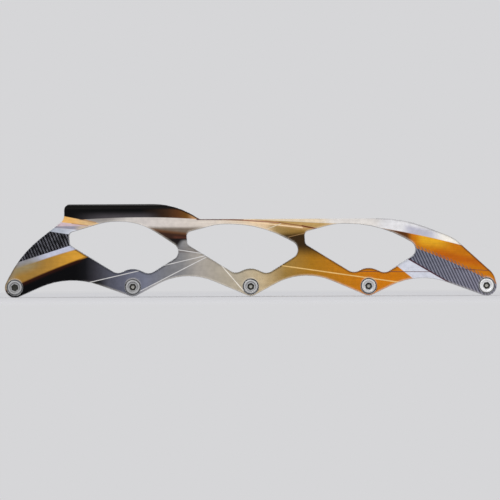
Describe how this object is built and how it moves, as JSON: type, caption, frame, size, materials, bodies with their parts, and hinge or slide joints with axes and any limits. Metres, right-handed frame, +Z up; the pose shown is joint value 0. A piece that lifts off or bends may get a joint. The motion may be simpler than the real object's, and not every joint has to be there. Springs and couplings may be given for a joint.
{
  "type": "inline skate frame",
  "caption": "Long aluminium inline skate frame: a milled channel with a raised heel deck, a lower toe deck, side windows, scalloped lower edge and recessed axles that draw out.",
  "frame": {"origin": "on the floor under the middle axle, in the mid-plane of the frame", "axes": "+X to the toe along the wheel line, +Y away from the axle heads, +Z up"},
  "size_m": [0.342, 0.0336, 0.0647],
  "materials": {
    "printed_aluminium": "satin",
    "axle_steel": "polished",
    "insert_steel": "satin"
  },
  "bodies": {
    "frame": {"frame_body": "printed_aluminium", "thread_insert_1": "insert_steel", "thread_insert_2": "insert_steel", "thread_insert_3": "insert_steel", "thread_insert_4": "insert_steel", "thread_insert_5": "insert_steel"},
    "axle_1": {"axle_1": "axle_steel"},
    "axle_2": {"axle_2": "axle_steel"},
    "axle_3": {"axle_3": "axle_steel"},
    "axle_4": {"axle_4": "axle_steel"},
    "axle_5": {"axle_5": "axle_steel"}
  },
  "joints": [
    {"name": "axle_1_draw", "type": "slide", "parent": "frame", "child": "axle_1", "axis": [0, -1, 0], "range_m": [0, 0.06]},
    {"name": "axle_2_draw", "type": "slide", "parent": "frame", "child": "axle_2", "axis": [0, -1, 0], "range_m": [0, 0.06]},
    {"name": "axle_3_draw", "type": "slide", "parent": "frame", "child": "axle_3", "axis": [0, -1, 0], "range_m": [0, 0.06]},
    {"name": "axle_4_draw", "type": "slide", "parent": "frame", "child": "axle_4", "axis": [0, -1, 0], "range_m": [0, 0.06]},
    {"name": "axle_5_draw", "type": "slide", "parent": "frame", "child": "axle_5", "axis": [0, -1, 0], "range_m": [0, 0.06]}
  ]
}
